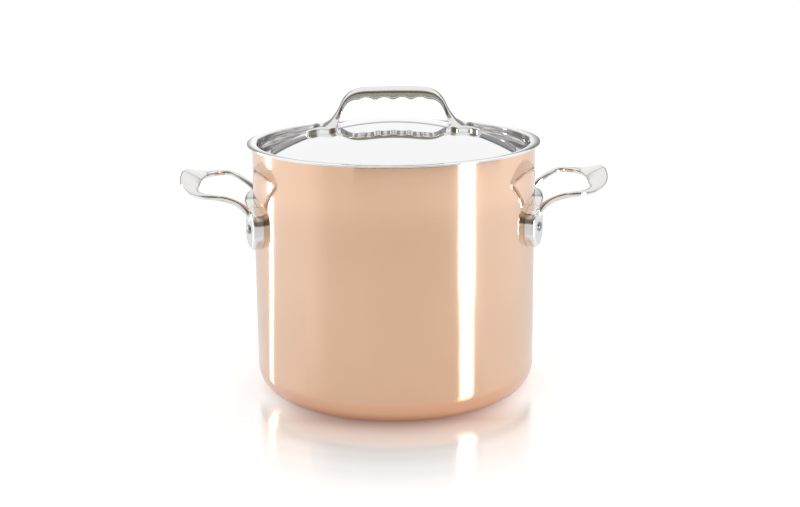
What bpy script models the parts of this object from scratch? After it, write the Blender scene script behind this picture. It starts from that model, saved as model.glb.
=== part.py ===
"""Copper stockpot: steel-lined copper body, two cast loop handles and a domed steel lid."""

from math import asin, atan2, cos, pi, radians, sin, sqrt

import bmesh
import bpy
from mathutils import Matrix, Vector

MM = 0.001

# Pot body
POT_OUTER_RADIUS = 122 * MM
POT_HEIGHT = 217 * MM
POT_CORNER_RADIUS = 22 * MM
COPPER_THICKNESS = 1.6 * MM
LINING_THICKNESS = 0.5 * MM
BOND_GAP = 0.3 * MM

# Side handles: a horizontal loop on two riveted pads, heights measured down from the pot's rim
PAD_HALF_ANGLE = radians(20.5)
PAD_WIDTH = 29 * MM
PAD_TOP_DROP = 48 * MM
PAD_BOTTOM_DROP = 84 * MM
PAD_THICKNESS = 8.4 * MM
PAD_EDGE_BEVEL = 1.2 * MM
BAR_DROP = 50 * MM
BAR_HEIGHT = 13 * MM
BAR_THICKNESS = 7 * MM
GRIP_DROP = 33.6 * MM
GRIP_REACH = 55.5 * MM
GRIP_WIDTH = 18 * MM
GRIP_THICKNESS = 5.6 * MM
GRIP_TILT = radians(24)
GRIP_CROWN = 4.6 * MM
GRIP_BOW = 6 * MM
ARM_WIDTH = 7 * MM
ARM_THICKNESS = 4.2 * MM
ARM_ROOT_WIDTH = 13 * MM
ARM_SPREAD = 56 * MM
HANDLE_WALL_GAP = 0.3 * MM

# Lid
LID_THICKNESS = 1.2 * MM
LID_SEAT_GAP = 0.3 * MM
LID_OVERHANG = 4.2 * MM
LID_PLUG_CLEARANCE = 1.0 * MM
LID_GUTTER_DEPTH = 8 * MM
LID_GUTTER_WIDTH = 13.5 * MM
LID_GUTTER_CORNER = 3 * MM
LID_FLANGE_FILLET = 1.6 * MM
LID_CROWN_HEIGHT = 17 * MM

# Lid handle: a bow with a scalloped grip on two leaf-shaped feet, heights above the lid's flange
BOW_GRIP_HEIGHT = 46.5 * MM
BOW_GRIP_THICKNESS = 10.6 * MM
BOW_GRIP_CROWN = 2.4 * MM
BOW_GRIP_DEPTH = 19.5 * MM
BOW_HALF_SPAN = 47 * MM
BOW_LEG_THICKNESS = 4.4 * MM
BOW_SHOULDER_RADIUS = 17 * MM
SCALLOP_PITCH = 16 * MM
SCALLOP_DEPTH = 1.9 * MM
SCALLOPS_PER_SIDE = 2
FOOT_HALF_WIDTH = 24 * MM
FOOT_LENGTH = 28.4 * MM
FOOT_NOSE_RADIUS = 7 * MM
FOOT_THICKNESS = 4.6 * MM
FOOT_SEAT_GAP = 0.3 * MM

# Rivets
SIDE_RIVET_DROP = 66 * MM
SIDE_RIVET_SHANK = 5 * MM
SIDE_RIVET_HEAD = 8.8 * MM
SIDE_RIVET_RISE = 3 * MM
SIDE_RIVET_TAIL = 11 * MM
SIDE_RIVET_TAIL_RISE = 2.2 * MM
LID_RIVET_FROM_NOSE = 10.5 * MM
LID_RIVET_SHANK = 4.4 * MM
LID_RIVET_HEAD = 7.2 * MM
LID_RIVET_RISE = 3.4 * MM
LID_RIVET_TAIL = 8 * MM
LID_RIVET_TAIL_RISE = 1.6 * MM
RIVET_HOLE_GAP = 0.3 * MM
RIVET_SEAT_GAP = 0.3 * MM
RIVET_TAIL_GAP = 0.5 * MM

# Facets
ROUND_STEPS = 48
RIVET_STEPS = 16
RING_POINTS = 16
PATH_STEPS = 2

# Worked out from the sizes above
LINING_OUTER_RADIUS = POT_OUTER_RADIUS - COPPER_THICKNESS - BOND_GAP
POT_INNER_RADIUS = LINING_OUTER_RADIUS - LINING_THICKNESS
LINING_BOTTOM = COPPER_THICKNESS + BOND_GAP
POT_WALL = POT_OUTER_RADIUS - POT_INNER_RADIUS
PAD_FACE_RADIUS = POT_OUTER_RADIUS + HANDLE_WALL_GAP + PAD_THICKNESS
LID_TOP = POT_HEIGHT + LID_SEAT_GAP + LID_THICKNESS
LID_OUTER_RADIUS = POT_OUTER_RADIUS + LID_OVERHANG
LID_PLUG_RADIUS = POT_INNER_RADIUS - LID_PLUG_CLEARANCE - LID_THICKNESS
DOME_EDGE_RADIUS = LID_PLUG_RADIUS - LID_GUTTER_WIDTH
DOME_RISE = LID_CROWN_HEIGHT + LID_GUTTER_DEPTH - MM
DOME_RADIUS = (DOME_EDGE_RADIUS ** 2 + DOME_RISE ** 2) / (2 * DOME_RISE)
DOME_CENTRE_Z = LID_TOP + LID_CROWN_HEIGHT - DOME_RADIUS
FOOT_NOSE_X = BOW_HALF_SPAN + FOOT_LENGTH
LID_RIVET_X = FOOT_NOSE_X - LID_RIVET_FROM_NOSE


def clear_scene():
    for obj in list(bpy.data.objects):
        bpy.data.objects.remove(obj, do_unlink=True)


def new_collection(name, hidden=False):
    collection = bpy.data.collections.new(name)
    bpy.context.scene.collection.children.link(collection)
    collection.hide_render = hidden
    return collection


def principled(name, colour, roughness, metallic=1.0):
    material = bpy.data.materials.new(name)
    material.use_nodes = True
    shader = material.node_tree.nodes["Principled BSDF"]
    shader.inputs["Base Color"].default_value = (*colour, 1.0)
    shader.inputs["Roughness"].default_value = roughness
    shader.inputs["Metallic"].default_value = metallic
    material.diffuse_color = (*colour, 1.0)
    return material


def finish(obj, collection, material, sharp_angle=35):
    """Puts an object in its collection, with its material and smooth round faces."""
    collection.objects.link(obj)
    obj.data.materials.append(material)
    obj.data.shade_smooth()
    obj.data.set_sharp_from_angle(angle=radians(sharp_angle))
    return obj


def as_cutter(obj, collection):
    collection.objects.link(obj)
    obj.hide_render = True
    obj.display_type = "WIRE"
    return obj


def add_boolean(obj, other, operation):
    modifier = obj.modifiers.new(f"{operation.lower()} {other.name}", "BOOLEAN")
    modifier.operation = operation
    modifier.object = other
    modifier.solver = "EXACT"


def arc(centre, radius, start, end, steps):
    """Points along an arc in a profile plane, angles in degrees."""
    turn = radians(end - start)
    return [
        (
            centre[0] + radius * cos(radians(start) + turn * i / steps),
            centre[1] + radius * sin(radians(start) + turn * i / steps),
        )
        for i in range(steps + 1)
    ]


def turned(name, profile, steps):
    """An open or closed (radius, height) profile turned about Z."""
    mesh = bpy.data.meshes.new(name)
    points = [(x, 0, z) for x, z in profile]
    mesh.from_pydata(points, [(i, i + 1) for i in range(len(points) - 1)], [])
    obj = bpy.data.objects.new(name, mesh)
    screw = obj.modifiers.new("turn", "SCREW")
    screw.steps = screw.render_steps = steps
    screw.use_merge_vertices = True
    screw.merge_threshold = 0.00001
    screw.use_smooth_shade = True
    return obj


def add_wall(obj, thickness):
    wall = obj.modifiers.new("wall", "SOLIDIFY")
    wall.thickness = thickness
    wall.offset = -1
    wall.use_even_offset = True


def loft(name, rings):
    """A closed skin through rings of equally many points, with a face across each end."""
    bm = bmesh.new()
    rows = [[bm.verts.new(point) for point in ring] for ring in rings]
    count = len(rows[0])
    for low, high in zip(rows, rows[1:]):
        for i in range(count):
            j = (i + 1) % count
            bm.faces.new((low[i], low[j], high[j], high[i]))
    bm.faces.new(rows[0][::-1])
    bm.faces.new(rows[-1])
    bmesh.ops.recalc_face_normals(bm, faces=bm.faces)
    mesh = bpy.data.meshes.new(name)
    bm.to_mesh(mesh)
    bm.free()
    return bpy.data.objects.new(name, mesh)


def rounded_section(centre, across, up, half_width, half_thickness, squareness=2.6, crown=0.0):
    """A superellipse round a path point: 2 is an ellipse, more is squarer.

    A crown lowers the upper corners, so that the upper face arches from side to side.
    """
    ring = []
    for i in range(RING_POINTS):
        angle = 2 * pi * i / RING_POINTS
        c, s = cos(angle), sin(angle)
        u = half_width * abs(c) ** (2 / squareness) * (1 if c >= 0 else -1)
        v = half_thickness * abs(s) ** (2 / squareness) * (1 if s >= 0 else -1)
        if v > 0:
            v -= crown * (u / half_width) ** 2 * v / half_thickness
        ring.append(centre + across * u + up * v)
    return ring


def smooth_through(stations, steps):
    """Catmull-Rom points through stations, each a tuple of numbers eased together."""
    padded = [stations[0], *stations, stations[-1]]
    out = []
    for a, b, c, d in zip(padded, padded[1:], padded[2:], padded[3:]):
        for k in range(steps):
            t = k / steps
            out.append(tuple(
                0.5 * (2 * q + (r - p) * t + (2 * p - 5 * q + 4 * r - s) * t ** 2
                       + (3 * q - p - 3 * r + s) * t ** 3)
                for p, q, r, s in zip(a, b, c, d)
            ))
    return out + [stations[-1]]


def pot_profile(outer_radius, corner_radius, base):
    """From the rim down the wall, round the corner and in to the axis."""
    corner = arc((outer_radius - corner_radius, base + corner_radius), corner_radius, 0, -90, 6)
    return [(outer_radius, POT_HEIGHT), *corner, (outer_radius * 0.45, base), (0, base)]


def build_copper_shell(parts):
    obj = turned("copper_shell", pot_profile(POT_OUTER_RADIUS, POT_CORNER_RADIUS, 0), ROUND_STEPS)
    add_wall(obj, COPPER_THICKNESS)
    material = principled("polished copper", (0.93, 0.60, 0.42), 0.08)
    return finish(obj, parts, material)


def build_steel_lining(parts):
    corner = POT_CORNER_RADIUS - LINING_BOTTOM
    obj = turned("steel_lining", pot_profile(LINING_OUTER_RADIUS, corner, LINING_BOTTOM), ROUND_STEPS)
    add_wall(obj, LINING_THICKNESS)
    return finish(obj, parts, principled("brushed steel lining", (0.62, 0.61, 0.60), 0.3))


def lid_profile():
    """The lid's upper face, from the crown out over the gutter to the flange's edge."""
    edge_angle = asin(DOME_EDGE_RADIUS / DOME_RADIUS)
    dome_steps = 6
    dome = []
    for i in range(dome_steps + 1):
        angle = edge_angle * i / dome_steps
        dome.append((DOME_RADIUS * sin(angle), DOME_CENTRE_Z + DOME_RADIUS * cos(angle)))
    floor = LID_TOP - LID_GUTTER_DEPTH
    dome.append((DOME_EDGE_RADIUS + LID_GUTTER_WIDTH * 0.25, floor))
    gutter_centre = (LID_PLUG_RADIUS - LID_GUTTER_CORNER, floor + LID_GUTTER_CORNER)
    gutter = arc(gutter_centre, LID_GUTTER_CORNER, -90, 0, 3)
    lip_centre = (LID_PLUG_RADIUS + LID_FLANGE_FILLET, LID_TOP - LID_FLANGE_FILLET)
    lip = arc(lip_centre, LID_FLANGE_FILLET, 180, 90, 3)
    return [*dome, *gutter, *lip, (LID_OUTER_RADIUS, LID_TOP)]


def build_lid_cover(parts):
    obj = turned("lid_cover", lid_profile(), ROUND_STEPS)
    add_wall(obj, LID_THICKNESS)
    return finish(obj, parts, principled("polished steel lid", (0.80, 0.80, 0.79), 0.08))


def arm_stations():
    """Half of the loop, from the grip's middle out round the corner and in to the pad's root.

    Each station is distance from the pot's axis, sideways place, height, width, thickness and
    the tilt that lifts the outer edge. The grip bows outwards and upwards in the middle.
    """
    root_x = PAD_FACE_RADIUS * cos(PAD_HALF_ANGLE) - PAD_THICKNESS * 0.4
    root_y = PAD_FACE_RADIUS * sin(PAD_HALF_ANGLE)
    grip_x = POT_OUTER_RADIUS + GRIP_REACH
    span = grip_x - root_x
    grip_z = POT_HEIGHT - GRIP_DROP
    arm_z = grip_z - GRIP_CROWN
    pad_z = POT_HEIGHT - PAD_TOP_DROP
    return [
        (grip_x, 0, grip_z, GRIP_WIDTH, GRIP_THICKNESS, GRIP_TILT),
        (grip_x - GRIP_BOW * 0.33, ARM_SPREAD * 0.36, grip_z - GRIP_CROWN * 0.15,
         GRIP_WIDTH * 0.97, GRIP_THICKNESS, GRIP_TILT * 0.95),
        (grip_x - GRIP_BOW, ARM_SPREAD * 0.64, grip_z - GRIP_CROWN * 0.5,
         GRIP_WIDTH * 0.83, GRIP_THICKNESS * 0.96, GRIP_TILT * 0.7),
        (root_x + span * 0.79, ARM_SPREAD * 0.84, grip_z - GRIP_CROWN * 0.85,
         (GRIP_WIDTH + ARM_WIDTH) / 2 * 0.86, GRIP_THICKNESS * 0.9, GRIP_TILT * 0.35),
        (root_x + span * 0.66, ARM_SPREAD * 0.98, arm_z, ARM_WIDTH * 1.08, ARM_THICKNESS, 0),
        (root_x + span * 0.5, ARM_SPREAD, arm_z - 0.3 * MM, ARM_WIDTH, ARM_THICKNESS, 0),
        (root_x + span * 0.36, root_y + 6 * MM, arm_z - 2.2 * MM, ARM_WIDTH, ARM_THICKNESS, 0),
        (root_x + span * 0.23, root_y + 2.5 * MM, arm_z - 5.5 * MM, ARM_WIDTH * 1.05, ARM_THICKNESS, 0),
        (root_x + span * 0.12, root_y + 1 * MM, pad_z - 1 * MM, ARM_ROOT_WIDTH * 0.7, ARM_THICKNESS, 0),
        (root_x + span * 0.04, root_y + 0.5 * MM, pad_z - 6 * MM, ARM_ROOT_WIDTH * 0.9, ARM_THICKNESS, 0),
        (root_x, root_y, pad_z - 12 * MM, ARM_ROOT_WIDTH, ARM_THICKNESS * 0.9, 0),
    ]


def loop_rings():
    """Sections square to the loop's path, level across but for the grip's tilt."""
    half = smooth_through(arm_stations(), PATH_STEPS)
    whole = [(x, -y, *rest) for x, y, *rest in half[:0:-1]] + half
    places = [Vector(station[:3]) for station in whole]
    rings = []
    for i, (x, y, z, width, thickness, tilt) in enumerate(whole):
        ahead = places[min(i + 1, len(places) - 1)] - places[max(i - 1, 0)]
        ahead.normalize()
        level = Vector((ahead.y, -ahead.x, 0)).normalized()
        upright = level.cross(ahead).normalized()
        across = level * cos(tilt) + upright * sin(tilt)
        up = upright * cos(tilt) - level * sin(tilt)
        rings.append(rounded_section(places[i], across, up, width / 2, thickness / 2))
    return rings


def pad_outline(inset, steps=8):
    """A stadium on its end: straight sides with a half circle at top and bottom."""
    radius = PAD_WIDTH / 2 - inset
    top = POT_HEIGHT - PAD_TOP_DROP - PAD_WIDTH / 2
    bottom = POT_HEIGHT - PAD_BOTTOM_DROP + PAD_WIDTH / 2
    return [*arc((0, top), radius, 0, 180, steps), *arc((0, bottom), radius, 180, 360, steps)]


def pad_rings(side):
    """The pad's outline carried outwards from inside the wall to a bevelled flat face."""
    turn = Matrix.Rotation(side * PAD_HALF_ANGLE, 3, "Z")
    inner = POT_OUTER_RADIUS - 3 * MM
    layers = [(inner, 0), (PAD_FACE_RADIUS - PAD_EDGE_BEVEL, 0), (PAD_FACE_RADIUS, PAD_EDGE_BEVEL)]
    return [[turn @ Vector((radius, y, z)) for y, z in pad_outline(inset)] for radius, inset in layers]


def bar_rings(steps=10):
    """The bar that closes the loop along the wall, from one pad's middle to the other's."""
    middle = POT_OUTER_RADIUS + HANDLE_WALL_GAP + BAR_THICKNESS / 2 - 1 * MM
    rings = []
    for i in range(steps + 1):
        angle = PAD_HALF_ANGLE * (2 * i / steps - 1)
        outward = Vector((cos(angle), sin(angle), 0))
        centre = outward * middle + Vector((0, 0, POT_HEIGHT - BAR_DROP))
        half_thickness = BAR_THICKNESS / 2 + 1 * MM
        rings.append(rounded_section(centre, outward, Vector((0, 0, 1)), half_thickness, BAR_HEIGHT / 2))
    return rings


def build_side_handle(name, turn, parts, cutters, material):
    """One casting: loop, bar and two pads, hollowed to the pot's wall."""
    handle = loft(name, loop_rings())
    pieces = [(f"{name} front pad", pad_rings(-1)), (f"{name} rear pad", pad_rings(1))]
    pieces.append((f"{name} bar", bar_rings()))
    for piece_name, rings in pieces:
        piece = as_cutter(loft(piece_name, rings), cutters)
        piece.rotation_euler.z = turn
        add_boolean(handle, piece, "UNION")
    wall_radius = POT_OUTER_RADIUS + HANDLE_WALL_GAP
    wall = [(0, POT_HEIGHT), (wall_radius, POT_HEIGHT), (wall_radius, 0), (0, 0)]
    seat = as_cutter(turned(f"{name} seat", wall, ROUND_STEPS * 2), cutters)
    add_boolean(handle, seat, "DIFFERENCE")
    handle.rotation_euler.z = turn
    return finish(handle, parts, material)


def rivet_profile(head, head_rise, shank, grip_length, tail, tail_rise):
    """A domed head above the origin, a shank below it and a flatter tail at its end."""
    dome = [(0, head_rise)]
    for i in range(1, 6):
        angle = pi / 2 * (1 - i / 5)
        dome.append((head / 2 * cos(angle), head_rise * sin(angle)))
    tail_top = -grip_length
    tail_low = tail_top - tail_rise
    return [
        *dome, (shank / 2, 0), (shank / 2, tail_top), (tail / 2, tail_top),
        (tail / 2 * 0.93, tail_top - tail_rise * 0.55), (tail / 2 * 0.6, tail_low), (0, tail_low),
    ]


def side_rivet_frame(turn, side):
    """The place of a rivet's head seat on a pad, with +Z along its axis, outwards."""
    spin = Matrix.Rotation(turn + side * PAD_HALF_ANGLE, 4, "Z")
    seat = Vector((PAD_FACE_RADIUS + RIVET_SEAT_GAP, 0, POT_HEIGHT - SIDE_RIVET_DROP))
    return spin @ Matrix.Translation(seat) @ Matrix.Rotation(pi / 2, 4, "Y")


def lid_rivet_frame(side):
    """The place of a rivet's head seat on a foot, with +Z square to the dome."""
    tilt = asin(LID_RIVET_X / DOME_RADIUS)
    seat = DOME_RADIUS + FOOT_SEAT_GAP + FOOT_THICKNESS + RIVET_SEAT_GAP
    centre = Matrix.Translation((0, 0, DOME_CENTRE_Z))
    return centre @ Matrix.Rotation(side * tilt, 4, "Y") @ Matrix.Translation((0, 0, seat))


def drill(name, frame, shank, cut_objects, cutters):
    """A rivet's clearance hole through each object given."""
    radius = shank / 2 + RIVET_HOLE_GAP
    reach = 40 * MM
    profile = [(0, reach / 2), (radius, reach / 2), (radius, -reach), (0, -reach)]
    hole = as_cutter(turned(f"{name} hole", profile, RIVET_STEPS), cutters)
    hole.matrix_world = frame
    for obj in cut_objects:
        add_boolean(obj, hole, "DIFFERENCE")


def build_rivet(name, frame, sizes, parts, material):
    obj = turned(name, rivet_profile(*sizes), RIVET_STEPS)
    obj.matrix_world = frame
    return finish(obj, parts, material)


def build_side_rivets(handle_name, handle, turn, walls, parts, cutters, material):
    """Two rivets through a handle's pads, the copper and the lining."""
    grip_length = RIVET_SEAT_GAP + PAD_THICKNESS + HANDLE_WALL_GAP + POT_WALL + RIVET_TAIL_GAP
    sizes = (
        SIDE_RIVET_HEAD, SIDE_RIVET_RISE, SIDE_RIVET_SHANK, grip_length,
        SIDE_RIVET_TAIL, SIDE_RIVET_TAIL_RISE,
    )
    front = -1 if turn == 0 else 1
    for place, side in (("front", front), ("rear", -front)):
        name = f"{handle_name}_rivet_{place}"
        frame = side_rivet_frame(turn, side)
        drill(name, frame, SIDE_RIVET_SHANK, [handle, *walls], cutters)
        build_rivet(name, frame, sizes, parts, material)


def bow_shoulder_and_leg():
    """The bow's +X side past its grip: x, height, half depth and thickness of the middle line."""
    middle = LID_TOP + BOW_GRIP_HEIGHT - BOW_GRIP_THICKNESS / 2
    flat_end = BOW_HALF_SPAN - BOW_SHOULDER_RADIUS
    leg_x = BOW_HALF_SPAN - BOW_LEG_THICKNESS / 2
    foot_top = dome_height(BOW_HALF_SPAN) + FOOT_THICKNESS
    leg_drop = middle - foot_top
    half = BOW_GRIP_DEPTH / 2
    return [
        (flat_end, middle - 0.2 * MM, half, BOW_GRIP_THICKNESS * 0.84),
        (flat_end + 0.4 * BOW_SHOULDER_RADIUS, middle - 0.1 * leg_drop, half, BOW_GRIP_THICKNESS * 0.66),
        (leg_x - 0.2 * BOW_SHOULDER_RADIUS, middle - 0.29 * leg_drop, half, BOW_LEG_THICKNESS * 1.2),
        (leg_x, middle - 0.52 * leg_drop, half, BOW_LEG_THICKNESS),
        (BOW_HALF_SPAN - 0.6 * MM, middle - 0.72 * leg_drop, half * 1.12, BOW_LEG_THICKNESS),
        (BOW_HALF_SPAN + 1.2 * MM, middle - 0.88 * leg_drop, half * 1.5, BOW_LEG_THICKNESS * 1.15),
        (BOW_HALF_SPAN + 4.5 * MM, foot_top - 0.25 * FOOT_THICKNESS, half * 2.2, BOW_LEG_THICKNESS * 1.5),
        (BOW_HALF_SPAN + 6.5 * MM, foot_top - 0.7 * FOOT_THICKNESS, half * 2.2, BOW_LEG_THICKNESS * 1.6),
    ]


def bow_stations():
    """The +X half of the bow, its grip's underside waved for the fingers with a cusp in the middle."""
    side = bow_shoulder_and_leg()
    per_scallop = 4
    stations = []
    for i in range(SCALLOPS_PER_SIDE * per_scallop):
        x = SCALLOP_PITCH * i / per_scallop
        if x > side[0][0] - 1 * MM:
            break
        thickness = BOW_GRIP_THICKNESS - SCALLOP_DEPTH * abs(sin(pi * x / SCALLOP_PITCH))
        top = LID_TOP + BOW_GRIP_HEIGHT - 0.6 * MM * (x / side[0][0]) ** 2
        stations.append((x, top - thickness / 2, BOW_GRIP_DEPTH / 2, thickness))
    return len(stations), stations + smooth_through(side, PATH_STEPS)


def bow_rings():
    """Sections along the bow, upright on the grip and square to its path down the legs."""
    grip_count, half = bow_stations()
    whole = [(-x, z, d, t) for x, z, d, t in half[:0:-1]] + half
    middle = len(half) - 1
    rings = []
    for i, (x, z, half_depth, thickness) in enumerate(whole):
        before = whole[max(i - 1, 0)]
        after = whole[min(i + 1, len(whole) - 1)]
        on_grip = abs(i - middle) < grip_count
        slope = 0 if on_grip else atan2(after[1] - before[1], after[0] - before[0])
        up = Vector((-sin(slope), 0, cos(slope)))
        place = Vector((x, 0, z))
        crown = BOW_GRIP_CROWN * min(1, thickness / BOW_GRIP_THICKNESS)
        across = Vector((0, 1, 0))
        rings.append(rounded_section(place, across, up, half_depth, thickness / 2, 3.2, crown))
    return rings


def dome_height(distance, above=0.0):
    """Height of the lid's dome, or of a sphere outside it, at a distance from the axis."""
    return DOME_CENTRE_Z + sqrt((DOME_RADIUS + above) ** 2 - distance ** 2)


def foot_outline():
    """The leaf seen from above: flat towards the bow's middle, narrowing to a round nose."""
    inner = BOW_HALF_SPAN - BOW_LEG_THICKNESS * 0.3
    wing = FOOT_HALF_WIDTH
    nose_centre = FOOT_NOSE_X - FOOT_NOSE_RADIUS
    half = [
        (inner, 0), (inner, wing * 0.55), (inner + 0.5 * MM, wing * 0.9), (inner + 3 * MM, wing),
        (inner + 7 * MM, wing * 0.97), (inner + 12 * MM, wing * 0.8), (inner + 17 * MM, wing * 0.58),
        *arc((nose_centre, 0), FOOT_NOSE_RADIUS, 72, 18, 3), (FOOT_NOSE_X, 0),
    ]
    return half + [(x, -y) for x, y in half[-2:0:-1]]


def foot_rings(side):
    """The leaf between the dome and a second sphere outside it, its faces following both."""
    outline = foot_outline()
    centre_x = BOW_HALF_SPAN + FOOT_LENGTH * 0.4
    seat, top = FOOT_SEAT_GAP, FOOT_SEAT_GAP + FOOT_THICKNESS
    layers = [(0.15, seat), (0.6, seat), (1, seat), (1, top - 0.9 * MM), (0.97, top), (0.6, top), (0.15, top)]
    rings = []
    for scale, above in layers:
        ring = []
        for x, y in outline:
            px = centre_x + (x - centre_x) * scale
            py = y * scale
            ring.append(Vector((side * px, side * py, dome_height(sqrt(px ** 2 + py ** 2), above))))
        rings.append(ring)
    return rings


def build_lid_handle(parts, cutters, material):
    """One casting: the bow and its two feet, cut to sit on the dome."""
    handle = loft("lid_handle", bow_rings())
    for place, side in (("left", -1), ("right", 1)):
        foot = as_cutter(loft(f"{place} foot", foot_rings(side)), cutters)
        add_boolean(handle, foot, "UNION")
    seat_radius = DOME_RADIUS + FOOT_SEAT_GAP
    edge = radians(40)
    steps = 24
    profile = []
    for i in range(steps + 1):
        angle = edge * i / steps
        profile.append((seat_radius * sin(angle), DOME_CENTRE_Z + seat_radius * cos(angle)))
    low = profile[-1][1] - 20 * MM
    profile += [(profile[-1][0], low), (0, low)]
    seat = as_cutter(turned("lid handle seat", profile, ROUND_STEPS * 2), cutters)
    add_boolean(handle, seat, "DIFFERENCE")
    return finish(handle, parts, material)


def build_lid_rivets(handle, cover, parts, cutters, material):
    """One rivet through each foot and the cover."""
    grip_length = RIVET_SEAT_GAP + FOOT_THICKNESS + FOOT_SEAT_GAP + LID_THICKNESS + RIVET_TAIL_GAP
    sizes = (
        LID_RIVET_HEAD, LID_RIVET_RISE, LID_RIVET_SHANK, grip_length,
        LID_RIVET_TAIL, LID_RIVET_TAIL_RISE,
    )
    for place, side in (("left", -1), ("right", 1)):
        name = f"lid_rivet_{place}"
        frame = lid_rivet_frame(side)
        drill(name, frame, LID_RIVET_SHANK, [handle, cover], cutters)
        build_rivet(name, frame, sizes, parts, material)


def main():
    clear_scene()
    parts = new_collection("copper_stockpot")
    cutters = new_collection("cutters", hidden=True)
    cast_steel = principled("polished cast steel", (0.74, 0.73, 0.71), 0.14)
    rivet_steel = principled("rivet steel", (0.66, 0.65, 0.64), 0.2)

    shell = build_copper_shell(parts)
    lining = build_steel_lining(parts)
    for name, turn in (("left_handle", pi), ("right_handle", 0)):
        handle = build_side_handle(name, turn, parts, cutters, cast_steel)
        build_side_rivets(name, handle, turn, [shell, lining], parts, cutters, rivet_steel)

    cover = build_lid_cover(parts)
    lid_handle = build_lid_handle(parts, cutters, cast_steel)
    build_lid_rivets(lid_handle, cover, parts, cutters, rivet_steel)


main()
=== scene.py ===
"""Looks of a copper stockpot: polished copper body, steel lining, cast handles and a domed steel lid."""

from math import acos, asin, atan2, cos, pi, radians, sin, sqrt, tan

import bmesh
import bpy
from mathutils import Matrix, Vector


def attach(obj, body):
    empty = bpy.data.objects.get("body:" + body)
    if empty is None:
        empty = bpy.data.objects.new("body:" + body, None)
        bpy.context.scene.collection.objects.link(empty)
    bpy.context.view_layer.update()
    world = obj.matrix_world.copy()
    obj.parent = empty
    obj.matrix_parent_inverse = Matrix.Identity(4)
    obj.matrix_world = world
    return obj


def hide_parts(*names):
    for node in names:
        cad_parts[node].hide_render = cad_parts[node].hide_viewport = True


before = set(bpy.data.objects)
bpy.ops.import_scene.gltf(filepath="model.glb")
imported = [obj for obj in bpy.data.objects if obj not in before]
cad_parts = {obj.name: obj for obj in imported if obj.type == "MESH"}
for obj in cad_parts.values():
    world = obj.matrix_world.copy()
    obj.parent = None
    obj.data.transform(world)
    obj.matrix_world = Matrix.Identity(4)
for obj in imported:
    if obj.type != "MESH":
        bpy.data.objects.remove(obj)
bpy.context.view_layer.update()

MM = 0.001
WELD = 0.002 * MM
MIRROR_WELD = 0.02 * MM
ON_PLANE = 0.01 * MM

# Pot
POT_RADIUS = 122 * MM
POT_HEIGHT = 217 * MM
POT_CORNER = 22 * MM
COPPER_WALL = 1.6 * MM
COPPER_FLOOR = 1.7 * MM
BASE_HOLLOW = 0.3 * MM
BASE_FOOT = 97 * MM
LINING_RADIUS = 120.36 * MM
LINING_INNER = 119.6 * MM
LINING_TOP = POT_HEIGHT - 0.1 * MM
LINING_BOTTOM = 1.8 * MM
FLOOR_INSIDE = 2.4 * MM

# Side handles
LOOP_EDGE = 2.1 * MM
PAD_ANGLE = radians(20.5)
PAD_FACE = 130.7 * MM
PAD_RADIUS = 14.5 * MM
PAD_TOP = 169 * MM
PAD_BOTTOM = 133 * MM
PAD_INNER = POT_RADIUS - 3 * MM
PAD_EDGE = 3 * MM
BAR_RADIUS = 125 * MM
BAR_HEIGHT = 165.6 * MM
BAR_DIP = 3.2 * MM
BAR_WIDE = 9.4 * MM
BAR_TALL = 12 * MM
BAR_EDGE = 1.8 * MM
BAR_SPAN = radians(19)
BAR_STEPS = 32
SIDE_GRAIN = 0.48 * MM
WALL_GAP = 0.12 * MM

# Lid
LID_TOP = 218.5 * MM
LID_WALL = 1.2 * MM
LID_EDGE = 126.2 * MM
PLUG_RADIUS = 117.4 * MM
DOME_EDGE = 103.9 * MM
DOME_RADIUS = 236.9 * MM
DOME_CENTRE = -1.4 * MM
DOME_STEPS = 40
GUTTER_FLOOR = 210.5 * MM
LID_ROUNDING = 0.42 * MM

# Lid handle
GRIP_TOP = 265 * MM
GRIP_THICK = 10.6 * MM
BOW_DROP = 24.3 * MM
FINGER_DEPTH = 1.9 * MM
FINGER_PITCH = 15.3 * MM
FINGER_HALF_WIDTH = 7 * MM
FINGER_HALF_HEIGHT = 4.2 * MM
FINGER_TOP = GRIP_TOP - GRIP_THICK + 0.15 * MM + FINGER_DEPTH
FOOT_INNER = 46.8 * MM
FOOT_NOSE = 75.4 * MM
FOOT_THICK = 4.6 * MM
FOOT_SUNK = 3 * MM
FOOT_SPREAD = radians(34)
FOOT_STEPS = 34
PLATE_STEP = 2 * MM
PLATE_POINTS = 18
LEAF_CENTRE = 60 * MM
LEAF_FLOOR = 200 * MM
LEAF_HEIGHT = 60 * MM
LEAF_BELOW = (1.19, 1.15)
LEAF_ABOVE = (0.64, 0.76)
LID_GRAIN = 0.46 * MM
FOOT_GRAIN = 0.6 * MM
SEAT_GAP = 0.06 * MM
SEAT_FLOOR = 190 * MM
SEAT_STEP = 4 * MM
SEAT_STEPS = 22

# Rivets
SIDE_RIVET_HEIGHT = 151 * MM
LID_RIVET_X = 64.9 * MM
SIDE_RIVET = {
    "head": 8.2 * MM, "rise": 1.9 * MM, "shank": 5 * MM, "grip": 11.3 * MM,
    "tail": 11 * MM, "tail_rise": 2.2 * MM,
}
LID_RIVET = {
    "head": 6.4 * MM, "rise": 2.4 * MM, "shank": 4.4 * MM, "grip": 6.2 * MM,
    "tail": 8 * MM, "tail_rise": 1.6 * MM,
}

# Metals
COPPER_COLOUR = (0.83, 0.548, 0.382)
COPPER_TINT = (0.81, 0.526, 0.354)
COAT_WEIGHT = 0.35
COAT_ROUGHNESS = 0.3
LID_COLOUR = (0.92, 0.92, 0.925)
GUTTER_COLOUR = (0.38, 0.37, 0.35)
CAST_COLOUR = (0.80, 0.79, 0.77)
RIVET_COLOUR = (0.30, 0.30, 0.285)
LINING_COLOUR = (0.70, 0.69, 0.68)
STREAKS_ROUND = 7.0
STREAK_RINGS = 700.0

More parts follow.
